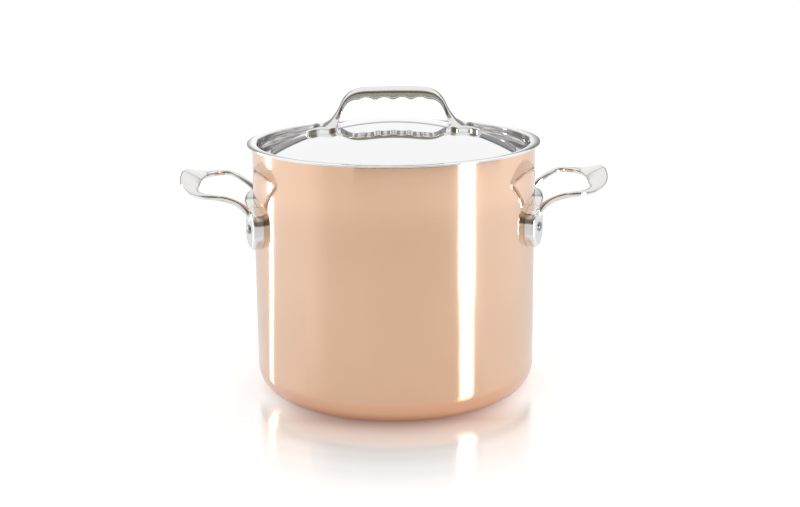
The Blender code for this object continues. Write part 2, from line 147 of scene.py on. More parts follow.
# Table, in metres from the pot's axis where a list goes by distance
TABLE_SIZE = 14
TABLE_GAP = 0.2 * MM
TABLE_WHITE = (0.80, 0.80, 0.80)
TABLE_LIFT = (0.36, 0.36, 0.36)
TABLE_IOR = 1.45
TABLE_ROUGHNESS = 0.12
# Painted shadow near the pot, warm at its foot, and painted light rising further out, in the table's glow
# that the metal mirrors
TABLE_PAINTED_SHADOW_AND_LIGHT = [
    (0.105, (0.12, 0.05, 0.02)), (0.135, (0.15, 0.08, 0.05)), (0.18, (0.20, 0.19, 0.19)),
    (0.55, (0.22, 0.22, 0.22)), (0.72, (0.22, 0.22, 0.22)), (0.86, (0.27, 0.27, 0.27)),
    (0.95, (0.42, 0.42, 0.42)), (1.0, (0.45, 0.45, 0.45)),
]
# Painted cool light to either side, added to the table's glow that the metal mirrors
TABLE_PAINTED_COOL_LIGHT = [(0.62, (0, 0, 0)), (1.0, (0.04, 0.11, 0.19))]
TABLE_MIRROR = [
    (0.115, 1), (0.146, 0.85), (0.18, 0.51), (0.208, 0.36), (0.245, 0.18), (0.30, 0.06), (0.37, 0),
]
MIRROR_FRONT = (-0.045, -0.10)
MIRROR_GAIN = 4.5

# Walls that only the metal mirrors, their colours painted reflections with dim painted-shade bands, by
# degrees from the camera's side towards the right; heights as shares of the room's radius
ROOM_RADIUS = 4
# Painted reflections for the metal, darkest on the camera's side as painted shade
WALL_COLOURS = [
    (-180, (1.0, 1.0, 1.0)), (-171.2, (1.0, 1.0, 1.0)), (-169.7, (0.34, 0.34, 0.34)),
    (-150, (0.42, 0.42, 0.43)), (-110, (0.80, 0.80, 0.84)), (-75, (0.70, 0.70, 0.70)),
    (-48, (0.22, 0.20, 0.17)), (0, (0.12, 0.105, 0.08)), (48, (0.22, 0.20, 0.17)),
    (75, (0.70, 0.70, 0.70)), (110, (0.80, 0.80, 0.82)), (150, (0.36, 0.36, 0.38)),
    (170, (0.30, 0.30, 0.32)), (173, (1.0, 1.0, 1.0)), (180, (1.0, 1.0, 1.0)),
]
WALL_TOPS = [(-180, 0.30), (-80, 0.30), (-50, 0.84), (0, 0.90), (50, 0.84), (80, 0.30), (180, 0.30)]
EDGE_BAND = (-0.07, -0.01)
EDGE_SHADE = 0.35
EDGE_BLUR = 0.006
UPPER_BAND = (0.42, 0.62)
UPPER_GAIN = 3.2

# Sheet of painted dark reflection on the table
SHADE_SHEET_NEAR = 1.32
SHADE_SHEET_FAR = 3.4
SHADE_SHEET_HEIGHT = 0.002
SHADE_SHEET_START = radians(-120)
SHADE_SHEET_SPREAD = radians(120)
SHADE_SHEET_DEPTH = (-2.1, -1.2)
# Painted dark reflection: nearly black nearer the pot, beige further off
SHADE_SHEET_COLOURS = [
    (0.0, (0.42, 0.39, 0.33)), (0.5, (0.40, 0.37, 0.31)),
    (0.72, (0.06, 0.07, 0.10)), (1.0, (0.05, 0.06, 0.10)),
]

# Camera
CAMERA_PLACE = (0, -1.21821, 0.42277)
CAMERA_PITCH = 0.24575
CAMERA_YAW = 0.00389
CAMERA_ROLL = -0.00868
FILM_WIDTH = 36
FOCAL_PIXELS = 1426.39
IMAGE_WIDTH = 800

# Sockets of a colour mix node
COLOUR_A = 6
COLOUR_B = 7
MIXED_COLOUR = 2


# Ways of modelling

def deselect():
    if bpy.context.mode != "OBJECT":
        bpy.ops.object.mode_set(mode="OBJECT")
    bpy.ops.object.select_all(action="DESELECT")


def hold(piece):
    """Selects one piece and nothing else."""
    deselect()
    piece.select_set(True)
    bpy.context.view_layer.objects.active = piece


def edit(piece):
    hold(piece)
    bpy.ops.object.mode_set(mode="EDIT")
    bpy.ops.mesh.select_mode(type="VERT")
    bpy.ops.mesh.select_all(action="SELECT")


def leave_edit():
    bpy.ops.object.mode_set(mode="OBJECT")


def named(name):
    """The primitive just added, under its own name, with its place in its mesh."""
    piece = bpy.context.object
    piece.name = piece.data.name = name
    bpy.ops.object.transform_apply(location=True, rotation=True, scale=True)
    return piece


def pick(piece, test, kind="VERT"):
    """In edit mode, selects the vertices or faces that pass the test."""
    bpy.ops.mesh.select_mode(type=kind)
    bpy.ops.mesh.select_all(action="DESELECT")
    mesh = bmesh.from_edit_mesh(piece.data)
    mesh.normal_update()
    for item in mesh.verts if kind == "VERT" else mesh.faces:
        if test(item):
            item.select_set(True)
    if kind == "VERT":
        mesh.select_flush(True)
    bmesh.update_edit_mesh(piece.data)


def move(x=0.0, y=0.0, z=0.0):
    bpy.ops.transform.translate(value=(x, y, z))


def turn(angle, axis, centre=(0, 0, 0)):
    """A right-handed turn of the selection about a line along one axis."""
    bpy.ops.transform.rotate(value=-angle, orient_axis=axis, center_override=centre)


def scale(x, y, z, centre=(0, 0, 0)):
    bpy.ops.transform.resize(value=(x, y, z), center_override=centre)


def face_out():
    """In edit mode, turns the faces of a closed skin outwards."""
    bpy.ops.mesh.select_all(action="SELECT")
    bpy.ops.mesh.normals_make_consistent(inside=False)


def face_up(piece):
    """In edit mode, turns an open sheet so that its first face looks up."""
    mesh = bmesh.from_edit_mesh(piece.data)
    mesh.faces.ensure_lookup_table()
    if mesh.faces[0].normal.z < 0:
        bpy.ops.mesh.flip_normals()


def draw(name, points, closed=False):
    """A line drawn from point to point, as (x, z) or (x, y, z), left in edit mode with all of it selected."""
    points = [Vector((p[0], 0, p[1])) if len(p) == 2 else Vector(p) for p in points]
    deselect()
    bpy.ops.mesh.primitive_plane_add(size=MM, location=points[0])
    piece = named(name)
    edit(piece)
    bpy.ops.mesh.merge(type="CENTER")
    for here, there in zip(points, points[1:]):
        bpy.ops.mesh.extrude_vertices_move(TRANSFORM_OT_translate={"value": there - here})
    bpy.ops.mesh.select_all(action="SELECT")
    if closed:
        bpy.ops.mesh.edge_face_add()
    return piece


def rounded(corners, steps=6, support=0.35 * MM):
    """A line through (x, z, fillet radius) corners, each an arc with a support point before and after."""
    line = []
    for i, (x, z, radius) in enumerate(corners):
        here = Vector((x, z))
        if radius == 0:
            line.append((x, z))
            continue
        before = (Vector(corners[i - 1][:2]) - here).normalized()
        after = (Vector(corners[(i + 1) % len(corners)][:2]) - here).normalized()
        half = acos(max(-1, min(1, before.dot(after)))) / 2
        reach = radius / tan(half)
        centre = here + (before + after).normalized() * radius / sin(half)
        first = here + before * reach - centre
        last = here + after * reach - centre
        sweep = atan2(first.x * last.y - first.y * last.x, first.dot(last))
        if support:
            line.append(tuple(here + before * (reach + support)))
        for k in range(steps + 1):
            angle = sweep * k / steps
            arm = Vector((
                first.x * cos(angle) - first.y * sin(angle),
                first.x * sin(angle) + first.y * cos(angle),
            ))
            line.append(tuple(centre + arm))
        if support:
            line.append(tuple(here + after * (reach + support)))
    return line


def spin_round(piece, steps):
    """Turns the drawn line about the Z axis into a closed skin that faces out."""
    bpy.ops.mesh.spin(steps=steps, angle=2 * pi, center=(0, 0, 0), axis=(0, 0, 1))
    bpy.ops.mesh.select_all(action="SELECT")
    bpy.ops.mesh.remove_doubles(threshold=WELD)
    bpy.ops.mesh.normals_make_consistent(inside=False)
    leave_edit()
    return piece


def apply_modifier(piece, kind, **settings):
    hold(piece)
    modifier = piece.modifiers.new(kind.lower(), kind)
    for key, value in settings.items():
        setattr(modifier, key, value)
    bpy.ops.object.modifier_apply(modifier=modifier.name)
    return piece


def cut_away(piece, cutter, operation="DIFFERENCE"):
    apply_modifier(piece, "BOOLEAN", object=cutter, operation=operation, solver="EXACT")
    bpy.data.objects.remove(cutter, do_unlink=True)
    return piece


def join(pieces, name):
    deselect()
    for piece in pieces:
        piece.select_set(True)
    bpy.context.view_layer.objects.active = pieces[0]
    bpy.ops.object.join()
    pieces[0].name = pieces[0].data.name = name
    return pieces[0]


def cast(piece, grain, passes):
    """Melts overlapping solids into one casting with a small fillet at each meeting."""
    apply_modifier(piece, "REMESH", mode="VOXEL", voxel_size=grain, adaptivity=0)
    apply_modifier(piece, "SMOOTH", factor=0.5, iterations=passes)
    return piece


def smooth(piece, angle):
    hold(piece)
    bpy.ops.object.shade_smooth_by_angle(angle=radians(angle))
    return piece


def copy_of(piece, name):
    twin = piece.copy()
    twin.data = piece.data.copy()
    twin.name = twin.data.name = name
    bpy.context.scene.collection.objects.link(twin)
    return twin


def draw_out(stations, swings):
    """Carries the selected section along stations of x, y, z, heading, tilt, width and thickness.

    A section that swings turns about Z on its way, so that its width lies in X and Y.
    """
    last = stations[0]
    for station in stations[1:]:
        there = Vector(station[:3])
        bpy.ops.mesh.extrude_region_move(TRANSFORM_OT_translate={"value": there - Vector(last[:3])})
        turn(-radians(last[4]), "Y", there)
        if swings:
            turn(radians(station[3] - last[3]), "Z", there)
        wider, thicker = station[5] / last[5], station[6] / last[6]
        scale(wider if swings else 1, wider, thicker, there)
        turn(radians(station[4]), "Y", there)
        last = station


def mirror_half(piece, axis, levels):
    """Opens a half, in edit mode, at its middle plane, mirrors it along X (0) or Y (1) and rounds it."""
    pick(piece, lambda face: all(abs(v.co[axis]) < ON_PLANE for v in face.verts), "FACE")
    bpy.ops.mesh.delete(type="FACE")
    face_out()
    leave_edit()
    apply_modifier(piece, "MIRROR", use_axis=(axis == 0, axis == 1, False), merge_threshold=MIRROR_WELD)
    return apply_modifier(piece, "SUBSURF", levels=levels, render_levels=levels)


def dress(piece, node, body, material):
    """Puts a finished piece in a CAD node's place."""
    piece.data.materials.clear()
    piece.data.materials.append(material)
    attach(piece, body)
    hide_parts(node)


def ease(stations, steps):
    """Catmull-Rom points through stations, each a tuple of numbers eased together."""
    padded = [stations[0], *stations, stations[-1]]
    out = []
    for a, b, c, d in zip(padded, padded[1:], padded[2:], padded[3:]):
        for k in range(steps):
            t = k / steps
            out.append(tuple(
                0.5 * (2 * q + (r - p) * t + (2 * p - 5 * q + 4 * r - s) * t ** 2
                       + (3 * q - p - 3 * r + s) * t ** 3)
                for p, q, r, s in zip(a, b, c, d)
            ))
    return out + [stations[-1]]


def dome_height(distance, above=0.0):
    return DOME_CENTRE + sqrt((DOME_RADIUS + above) ** 2 - distance ** 2)


# Finishes

def principled(material):
    return material.node_tree.nodes["Principled BSDF"]


def new_material(name, colour, metallic, roughness):
    material = bpy.data.materials.new(name)
    material.use_nodes = True
    shader = principled(material)
    shader.inputs["Base Color"].default_value = (*colour, 1)
    shader.inputs["Metallic"].default_value = metallic
    shader.inputs["Roughness"].default_value = roughness
    material.diffuse_color = (*colour, 1)
    return material


def new_group(name, inputs, outputs):
    """A node group with number sockets: inputs as (name, value), outputs as names."""
    group = bpy.data.node_groups.new(name, "ShaderNodeTree")
    for socket, value in inputs:
        made = group.interface.new_socket(socket, in_out="INPUT", socket_type="NodeSocketFloat")
        made.default_value = value
    for socket in outputs:
        group.interface.new_socket(socket, in_out="OUTPUT", socket_type="NodeSocketFloat")
    return group, group.nodes.new("NodeGroupInput"), group.nodes.new("NodeGroupOutput")


def node(tree, kind, links=None, **settings):
    """A node with its settings; links maps an input's name or number to a value or another node's output."""
    made = tree.nodes.new(kind)
    for key, value in settings.items():
        setattr(made, key, value)
    for socket, value in (links or {}).items():
        if isinstance(value, bpy.types.NodeSocket):
            tree.links.new(value, made.inputs[socket])
        else:
            made.inputs[socket].default_value = value
    return made


def maths(tree, operation, *values):
    return node(tree, "ShaderNodeMath", dict(enumerate(values)), operation=operation).outputs[0]


def vector_maths(tree, operation, *values):
    made = node(tree, "ShaderNodeVectorMath", dict(enumerate(values)), operation=operation)
    return made.outputs["Value"] if operation == "LENGTH" else made.outputs["Vector"]


def scaled(tree, vector, factor):
    made = node(tree, "ShaderNodeVectorMath", {0: vector, "Scale": factor}, operation="SCALE")
    return made.outputs["Vector"]


def remap(tree, value, low, high, to_low=0.0, to_high=1.0):
    """A value stretched from one range to another and held inside it."""
    return node(tree, "ShaderNodeMapRange", {
        "Value": value, "From Min": low, "From Max": high, "To Min": to_low, "To Max": to_high,
    }).outputs[0]


def object_place(tree):
    return node(tree, "ShaderNodeTexCoord").outputs["Object"]


def parts_of(tree, vector):
    return node(tree, "ShaderNodeSeparateXYZ", {0: vector}).outputs


def joined(tree, **parts):
    return node(tree, "ShaderNodeCombineXYZ", parts).outputs[0]


def noise(tree, vector, size, detail, roughness=0.5):
    return node(tree, "ShaderNodeTexNoise", {
        "Vector": vector, "Scale": size, "Detail": detail, "Roughness": roughness,
    }).outputs["Fac"]


def blend(tree, factor, first, second):
    """A mix of two colours, each a value or another node's output."""
    mix = node(tree, "ShaderNodeMix", {"Factor": factor}, data_type="RGBA")
    for socket, colour in ((COLOUR_A, first), (COLOUR_B, second)):
        if isinstance(colour, bpy.types.NodeSocket):
            tree.links.new(colour, mix.inputs[socket])
        else:
            mix.inputs[socket].default_value = (*colour, 1)
    return mix.outputs[MIXED_COLOUR]


def grey(level):
    return level, level, level


def ramp(tree, driver, stops):
    """A colour ramp with (place, colour) stops."""
    made = node(tree, "ShaderNodeValToRGB", {"Fac": driver})
    made.color_ramp.interpolation = "EASE"
    first, last = made.color_ramp.elements
    first.position, first.color = stops[0][0], (*stops[0][1], 1)
    last.position, last.color = stops[-1][0], (*stops[-1][1], 1)
    for place, colour in stops[1:-1]:
        made.color_ramp.elements.new(place).color = (*colour, 1)
    return made.outputs[0]


def round_axis(tree):
    """Where a point is about the Z axis: its height, its distance from it and the direction away from it."""
    parts = parts_of(tree, object_place(tree))
    flat = joined(tree, X=parts["X"], Y=parts["Y"])
    return parts["Z"], vector_maths(tree, "LENGTH", flat), vector_maths(tree, "NORMALIZE", flat)


def polish_group():
    """Hand polish: a faint haze that changes the gloss, and a very slow ripple in the surface."""
    group, given, result = new_group(
        "polished metal", [("Gloss", 0.06), ("Haze", 0.03), ("Haze Size", 14.0), ("Ripple Size", 9.0)],
        ["Roughness", "Height", "Haze"],
    )
    place = object_place(group)
    haze = noise(group, place, given.outputs["Haze Size"], 5.0, 0.6)
    spread = remap(group, haze, 0.35, 0.7)
    amount = maths(group, "MULTIPLY", spread, given.outputs["Haze"])
    total = maths(group, "ADD", amount, given.outputs["Gloss"])
    ripple = noise(group, place, given.outputs["Ripple Size"], 1.0)
    group.links.new(total, result.inputs["Roughness"])
    group.links.new(ripple, result.inputs["Height"])
    group.links.new(spread, result.inputs["Haze"])
    return group


def turned_lines_group():
    """Fine rings round the Z axis, as a lathe or a polishing wheel leaves them."""
    group, given, result = new_group("turned lines", [("Rings", 1500.0), ("Break Up", 3.0)], ["Lines"])
    height, distance, outward = round_axis(group)
    across = maths(group, "MULTIPLY", distance, given.outputs["Rings"])
    along = maths(group, "MULTIPLY", height, given.outputs["Rings"])
    turned = maths(group, "MULTIPLY", parts_of(group, outward)["X"], given.outputs["Break Up"])
    lines = noise(group, joined(group, X=across, Y=turned, Z=along), 1.0, 3.0, 0.7)
    group.links.new(lines, result.inputs["Lines"])
    return group


def add_bump(material, height, distance):
    tree = material.node_tree
    bump = node(tree, "ShaderNodeBump", {"Height": height, "Distance": distance, "Strength": 1.0})
    tree.links.new(bump.outputs[0], principled(material).inputs["Normal"])


def polished(name, colour, gloss, haze, haze_size, ripple, ripple_size, tint=None):
    """Polished metal, its haze a touch duller and of a slightly different tint."""
    material = new_material(name, colour, 1.0, gloss)
    tree = material.node_tree
    polish = node(tree, "ShaderNodeGroup", node_tree=POLISH)
    given = {"Gloss": gloss, "Haze": haze, "Haze Size": haze_size, "Ripple Size": ripple_size}
    for socket, value in given.items():
        polish.inputs[socket].default_value = value
    tree.links.new(polish.outputs["Roughness"], principled(material).inputs["Roughness"])
    add_bump(material, polish.outputs["Height"], ripple)
    if tint:
        mixed = blend(tree, polish.outputs["Haze"], colour, tint)
        tree.links.new(mixed, principled(material).inputs["Base Color"])
    return material


def darken_gutter_streaks(material, bright, streak_colour):
    """Darker streaks round the lid's gutter, mixed into its base colour between the dome's edge and the plug
    wall.
    """
    tree = material.node_tree
    height, distance, outward = round_axis(tree)
    beyond = remap(tree, distance, DOME_EDGE, DOME_EDGE + 1.5 * MM)
    within = remap(tree, distance, PLUG_RADIUS + 1.2 * MM, PLUG_RADIUS)
    gutter = maths(tree, "MULTIPLY", beyond, within)
    rise = joined(tree, Z=maths(tree, "MULTIPLY", height, STREAK_RINGS))
    lines_at = vector_maths(tree, "ADD", scaled(tree, outward, STREAKS_ROUND), rise)
    strength = remap(tree, noise(tree, lines_at, 1.0, 4.0), 0.35, 0.6, 0.35, 1.0)
    # the gutter's base colour is darkened in streaks
    mixed = blend(tree, maths(tree, "MULTIPLY", gutter, strength), bright, streak_colour)
    tree.links.new(mixed, principled(material).inputs["Base Color"])


def turned_metal(name, colour, roughness, rings, depth, spread):
    """Metal with fine rings round the pot's axis."""
    material = new_material(name, colour, 1.0, roughness)
    tree = material.node_tree
    lines = node(tree, "ShaderNodeGroup", {"Rings": rings}, node_tree=TURNED_LINES).outputs["Lines"]
    add_bump(material, lines, depth)
    gloss = remap(tree, lines, 0.0, 1.0, roughness - spread, roughness + spread)
    tree.links.new(gloss, principled(material).inputs["Roughness"])
    return material


def glowing(name, glow):
    """A material that only shines; glow makes its colour from the material's node tree."""
    material = new_material(name, (0, 0, 0), 0.0, 1.0)
    shader = principled(material)
    shader.inputs["Specular IOR Level"].default_value = 0.0
    shader.inputs["Emission Strength"].default_value = 1.0
    material.node_tree.links.new(glow(material.node_tree), shader.inputs["Emission Color"])
    return material


# Pot body

def model_copper_shell():
    """The drawn copper body, as one closed section up the outside, over the rim and back down inside."""
    inside = POT_RADIUS - COPPER_WALL
    section = rounded([
        (0, BASE_HOLLOW, 0), (70 * MM, 0.2 * MM, 0), (BASE_FOOT, 0, 0), (BASE_FOOT + 2.5 * MM, 0, 0),
        (POT_RADIUS, 0, POT_CORNER),
        (POT_RADIUS, POT_HEIGHT, 0.5 * MM),
        (inside, POT_HEIGHT, 0.2 * MM),
        (inside, COPPER_FLOOR, POT_CORNER - COPPER_WALL),
        (0, COPPER_FLOOR, 0),
    ], steps=14)
    piece = draw("polished_copper_body", section)
    return smooth(spin_round(piece, 256), 50)


def model_lining():
    """The steel layer, its rim flush with the copper's."""
    section = rounded([
        (0, LINING_BOTTOM, 0),
        (LINING_RADIUS, LINING_BOTTOM, POT_CORNER - COPPER_WALL),
        (LINING_RADIUS, LINING_TOP, 0.15 * MM),
        (LINING_INNER, LINING_TOP, 0.3 * MM),
        (LINING_INNER, FLOOR_INSIDE, POT_CORNER - FLOOR_INSIDE),
        (0, FLOOR_INSIDE, 0),
    ], steps=12)
    piece = draw("bright_steel_lining", section)
    return smooth(spin_round(piece, 192), 50)


# Lid cover

def model_lid_cover():
    """The pressed lid: dome, gutter, plug wall and flange, given its sheet thickness below."""
    edge = asin(DOME_EDGE / DOME_RADIUS)
    dome = []
    for i in range(DOME_STEPS + 1):
        angle = edge * i / DOME_STEPS
        dome.append((DOME_RADIUS * sin(angle), DOME_CENTRE + DOME_RADIUS * cos(angle)))
    shoulder = rounded([
        (dome[-1][0], dome[-1][1], 0),
        (DOME_EDGE + 1.6 * MM, GUTTER_FLOOR, 1.2 * MM),
        (PLUG_RADIUS, GUTTER_FLOOR, 3 * MM),
        (PLUG_RADIUS, LID_TOP, 1.6 * MM),
        (LID_EDGE, LID_TOP, 0),
    ], steps=8, support=0.2 * MM)
    piece = draw("domed_lid", dome + shoulder[1:])
    spin_round(piece, 256)
    edit(piece)
    face_up(piece)
    leave_edit()
    apply_modifier(piece, "SOLIDIFY", thickness=LID_WALL, offset=-1, use_even_offset=True)
    apply_modifier(
        piece, "BEVEL", width=LID_ROUNDING, segments=3, limit_method="ANGLE", angle_limit=radians(60),
    )
    return smooth(piece, 50)


# Handles on the sides

def loop_stations():
    """Half of the loop from the grip's middle: place, heading, tilt, and width and thickness in mm."""
    return ease([
        (175.6 * MM, 0, 187.2 * MM, 0, -26, 19.4, 5.4),
        (174.6 * MM, 19.4 * MM, 185.9 * MM, 8, -24, 18.4, 5.4),
        (172 * MM, 33.6 * MM, 183.6 * MM, 22, -18, 15.6, 5.2),
        (166 * MM, 45.6 * MM, 181.6 * MM, 45, -8, 10.4, 4.9),
        (157.4 * MM, 53.6 * MM, 180.8 * MM, 66, -2, 6.6, 4.8),
        (148.3 * MM, 54.7 * MM, 180.3 * MM, 96, -5, 5.6, 4.9),
        (140 * MM, 50 * MM, 177.6 * MM, 112, -19, 5.6, 4.9),
        (132 * MM, 46 * MM, 173.2 * MM, 106, -34, 5.9, 5.1),
        (125.8 * MM, 44.6 * MM, 167.8 * MM, 98, -48, 6.8, 5.6),
        (121.2 * MM, 44.3 * MM, 162.2 * MM, 94, -60, 8.4, 6),
        (117.6 * MM, 44.3 * MM, 155.5 * MM, 92, -72, 10, 6),
    ], 3)


def model_loop():
    """A rounded section drawn out along the stations, mirrored to the other half."""
    stations = loop_stations()
    deselect()
    bpy.ops.mesh.primitive_plane_add(size=1, location=stations[0][:3], rotation=(pi / 2, 0, 0))
    loop = named("loop")
    edit(loop)
    *place, _, tilt, width, thick = stations[0]
    scale(width * MM, 1, thick * MM, place)
    bpy.ops.mesh.bevel(offset=LOOP_EDGE, segments=2, affect="VERTICES")
    bpy.ops.mesh.select_all(action="SELECT")
    turn(radians(tilt), "Y", place)
    draw_out(stations, swings=True)
    return mirror_half(loop, axis=1, levels=2)


def model_pad(side):
    """A stadium pad on the wall, its face edge rounded."""
    middle = (PAD_TOP + PAD_BOTTOM) / 2
    stretch = (PAD_TOP - PAD_BOTTOM) / 2 - PAD_RADIUS
    deselect()
    bpy.ops.mesh.primitive_cylinder_add(
        vertices=64, radius=PAD_RADIUS, depth=PAD_FACE - PAD_INNER,
        location=((PAD_FACE + PAD_INNER) / 2, 0, middle), rotation=(0, pi / 2, 0),
    )
    pad = named("pad")
    edit(pad)
    pick(pad, lambda v: v.co.z > middle + 0.1 * MM)
    move(z=stretch)
    pick(pad, lambda v: v.co.z < middle - 0.1 * MM)
    move(z=-stretch)
    pick(pad, lambda f: f.normal.x > 0.9, "FACE")
    bpy.ops.mesh.bevel(offset=PAD_EDGE, segments=5, affect="EDGES")
    bpy.ops.mesh.select_all(action="SELECT")
    turn(side * PAD_ANGLE, "Z")
    leave_edit()
    return pad


def model_bar():
    """The bar along the wall between the pads: one section carried round the wall, lower at its ends."""
    middle = Vector((BAR_RADIUS, 0, BAR_HEIGHT))
    deselect()
    bpy.ops.mesh.primitive_plane_add(size=1, location=middle, rotation=(pi / 2, 0, 0))
    bar = named("bar")
    edit(bar)
    scale(BAR_WIDE, 1, BAR_TALL, middle)
    bpy.ops.mesh.bevel(offset=BAR_EDGE, segments=3, affect="VERTICES")
    bpy.ops.mesh.select_all(action="SELECT")
    last = -BAR_SPAN
    turn(last, "Z")
    move(z=-BAR_DIP)
    for i in range(1, BAR_STEPS + 1):
        angle = BAR_SPAN * (2 * i / BAR_STEPS - 1)
        bpy.ops.mesh.extrude_region_move()
        turn(angle - last, "Z")
        move(z=BAR_DIP * ((last / BAR_SPAN) ** 4 - (angle / BAR_SPAN) ** 4))
        last = angle
    face_out()
    leave_edit()
    return bar


def model_side_handle(name):
    handle = join([model_loop(), model_pad(-1), model_pad(1), model_bar()], name)
    cast(handle, SIDE_GRAIN, passes=14)
    deselect()
    bpy.ops.mesh.primitive_cylinder_add(
        vertices=256, radius=POT_RADIUS + WALL_GAP, depth=300 * MM, location=(0, 0, 120 * MM),
    )
    cut_away(handle, named("wall"))
    return smooth(handle, 35)


# Handle on the lid

def bow_stations():
    """The +X half of the bow: place, heading, tilt, and half depth and thickness in mm."""
    middle = GRIP_TOP - GRIP_THICK / 2
    return ease([
        (0, 0, middle, 0, 0, 9.75, 10.6),
        (15 * MM, 0, middle - 0.15 * MM, 0, 1, 9.75, 10.6),
        (28 * MM, 0, middle - 0.5 * MM, 0, 6, 9.75, 10.0),
        (36 * MM, 0, middle - 0.1 * BOW_DROP, 0, 27, 9.7, 7.4),
        (41.4 * MM, 0, middle - 0.29 * BOW_DROP, 0, 56, 9.7, 5.4),
        (44.6 * MM, 0, middle - 0.52 * BOW_DROP, 0, 76, 9.8, 4.6),
        (47 * MM, 0, middle - 0.72 * BOW_DROP, 0, 78, 10.8, 5.4),
        (49.2 * MM, 0, middle - 0.87 * BOW_DROP, 0, 84, 12.6, 6.6),
        (50.6 * MM, 0, middle - 0.96 * BOW_DROP, 0, 88, 15.2, 7.8),
        (52.1 * MM, 0, middle - 1.03 * BOW_DROP, 0, 90, 18.4, 10.4),
        (53.6 * MM, 0, middle - 1.11 * BOW_DROP, 0, 90, 20.4, 13.2),
        (53.6 * MM, 0, middle - 1.2 * BOW_DROP, 0, 90, 20.4, 13.2),
    ], 3)


def model_bow():
    """A crowned section drawn out along the stations, with finger waves cut under the grip."""
    stations = bow_stations()
    x, _, z, _, _, depth, thick = stations[0]
    section = rounded([
        (-depth * MM, -0.5 * thick * MM, 1.2 * MM), (depth * MM, -0.5 * thick * MM, 1.2 * MM),
        (depth * MM, 0.3 * thick * MM, 2.4 * MM), (0.5 * depth * MM, 0.44 * thick * MM, 3 * MM),
        (0, 0.5 * thick * MM, 0),
        (-0.5 * depth * MM, 0.44 * thick * MM, 3 * MM), (-depth * MM, 0.3 * thick * MM, 2.4 * MM),
    ], steps=4, support=0)
    bow = draw("bow", [(x, y, z + up) for y, up in section], closed=True)
    draw_out(stations, swings=False)
    mirror_half(bow, axis=0, levels=1)
    for place in (-1.5, -0.5, 0.5, 1.5):
        deselect()
        bpy.ops.mesh.primitive_cylinder_add(
            vertices=96, radius=FINGER_HALF_WIDTH, depth=40 * MM, rotation=(pi / 2, 0, 0),
            location=(place * FINGER_PITCH, 0, FINGER_TOP - FINGER_HALF_HEIGHT),
            scale=(1, FINGER_HALF_HEIGHT / FINGER_HALF_WIDTH, 1),
        )
        cut_away(bow, named("finger"))
    return bow


def model_leaf(side):
    """A foot's outline, wider below than above, to trim the plate with."""
    half = rounded([
        (FOOT_INNER, 0, 0), (FOOT_INNER, 23.9 * MM, 3.5 * MM), (FOOT_INNER + 7 * MM, 24.4 * MM, 5 * MM),
        (FOOT_INNER + 18 * MM, 11.4 * MM, 9 * MM), (FOOT_NOSE, 9 * MM, 6 * MM), (FOOT_NOSE, 0, 0),
    ], steps=6, support=0)
    outline = half + [(x, -y) for x, y in half[-2:0:-1]]
    leaf = draw("leaf", [(side * x, y, LEAF_FLOOR) for x, y in outline], closed=True)
    centre = (side * LEAF_CENTRE, 0, LEAF_FLOOR)
    scale(*LEAF_BELOW, 1, centre)
    bpy.ops.mesh.extrude_region_move(TRANSFORM_OT_translate={"value": (0, 0, LEAF_HEIGHT)})
    scale(*LEAF_ABOVE, 1, centre)
    face_out()
    leave_edit()
    return leaf


def model_foot(side):
    """A plate spun out on the dome and given its thickness, trimmed to a leaf and worn round at its edges."""
    reach = [FOOT_INNER - PLATE_STEP + PLATE_STEP * i for i in range(PLATE_POINTS)]
    foot = draw("foot", [(side * r, dome_height(r, -FOOT_SUNK)) for r in reach])
    turn(-FOOT_SPREAD, "Z")
    bpy.ops.mesh.spin(steps=FOOT_STEPS, angle=-2 * FOOT_SPREAD, center=(0, 0, 0), axis=(0, 0, 1))
    face_out()
    face_up(foot)
    leave_edit()
    apply_modifier(foot, "SOLIDIFY", thickness=FOOT_THICK + FOOT_SUNK + 0.3 * MM, offset=1)
    cut_away(foot, model_leaf(side), "INTERSECT")
    return cast(foot, FOOT_GRAIN, passes=15)


def model_dome_seat():
    """The dome's own shape, a hair above its face, that the feet are ground to."""
    line = [(SEAT_STEP * i, dome_height(SEAT_STEP * i, SEAT_GAP)) for i in range(SEAT_STEPS + 1)]
    line = [(0, SEAT_FLOOR), *line, (SEAT_STEP * SEAT_STEPS, SEAT_FLOOR), (0, SEAT_FLOOR)]
    return spin_round(draw("dome seat", line), 256)


def model_lid_handle():
    handle = join([model_bow(), model_foot(-1), model_foot(1)], "cast_lid_handle")
    cast(handle, LID_GRAIN, passes=14)
    cut_away(handle, model_dome_seat())
    return smooth(handle, 35)


# Rivets

def model_rivet(name, head, rise, shank, grip, tail, tail_rise):
    """A round head above the seat, a shank, and a flatter head at the other end."""
    dome = [(head / 2 * sin(pi / 2 * i / 10), rise * cos(pi / 2 * i / 10)) for i in range(11)]
    seat = -0.05 * MM
    section = dome + [(head / 2 * 0.96, seat), (shank / 2, seat), (shank / 2, -grip)]
    back = rounded([
        (shank / 2, -grip, 0), (tail / 2, -grip, 0.3 * MM), (tail / 2 * 0.9, -grip - tail_rise, 1.0 * MM),
        (0, -grip - tail_rise, 0),
    ], steps=5, support=0.1 * MM)
    return smooth(spin_round(draw(name, section + back[1:]), 48), 50)


def side_rivet(name, turned, side):
    rivet = model_rivet(name, **SIDE_RIVET)
    edit(rivet)
    turn(pi / 2, "Y")
    move(PAD_FACE + 0.02 * MM, 0, SIDE_RIVET_HEIGHT)
    turn(turned + side * PAD_ANGLE, "Z")
    leave_edit()
    return rivet


def lid_rivet(name, side):
    rivet = model_rivet(name, **LID_RIVET)
    edit(rivet)
    move(z=DOME_RADIUS + FOOT_THICK + 0.05 * MM)
    turn(side * asin(LID_RIVET_X / DOME_RADIUS), "Y")
    move(z=DOME_CENTRE)
    leave_edit()
    return rivet


# Studio

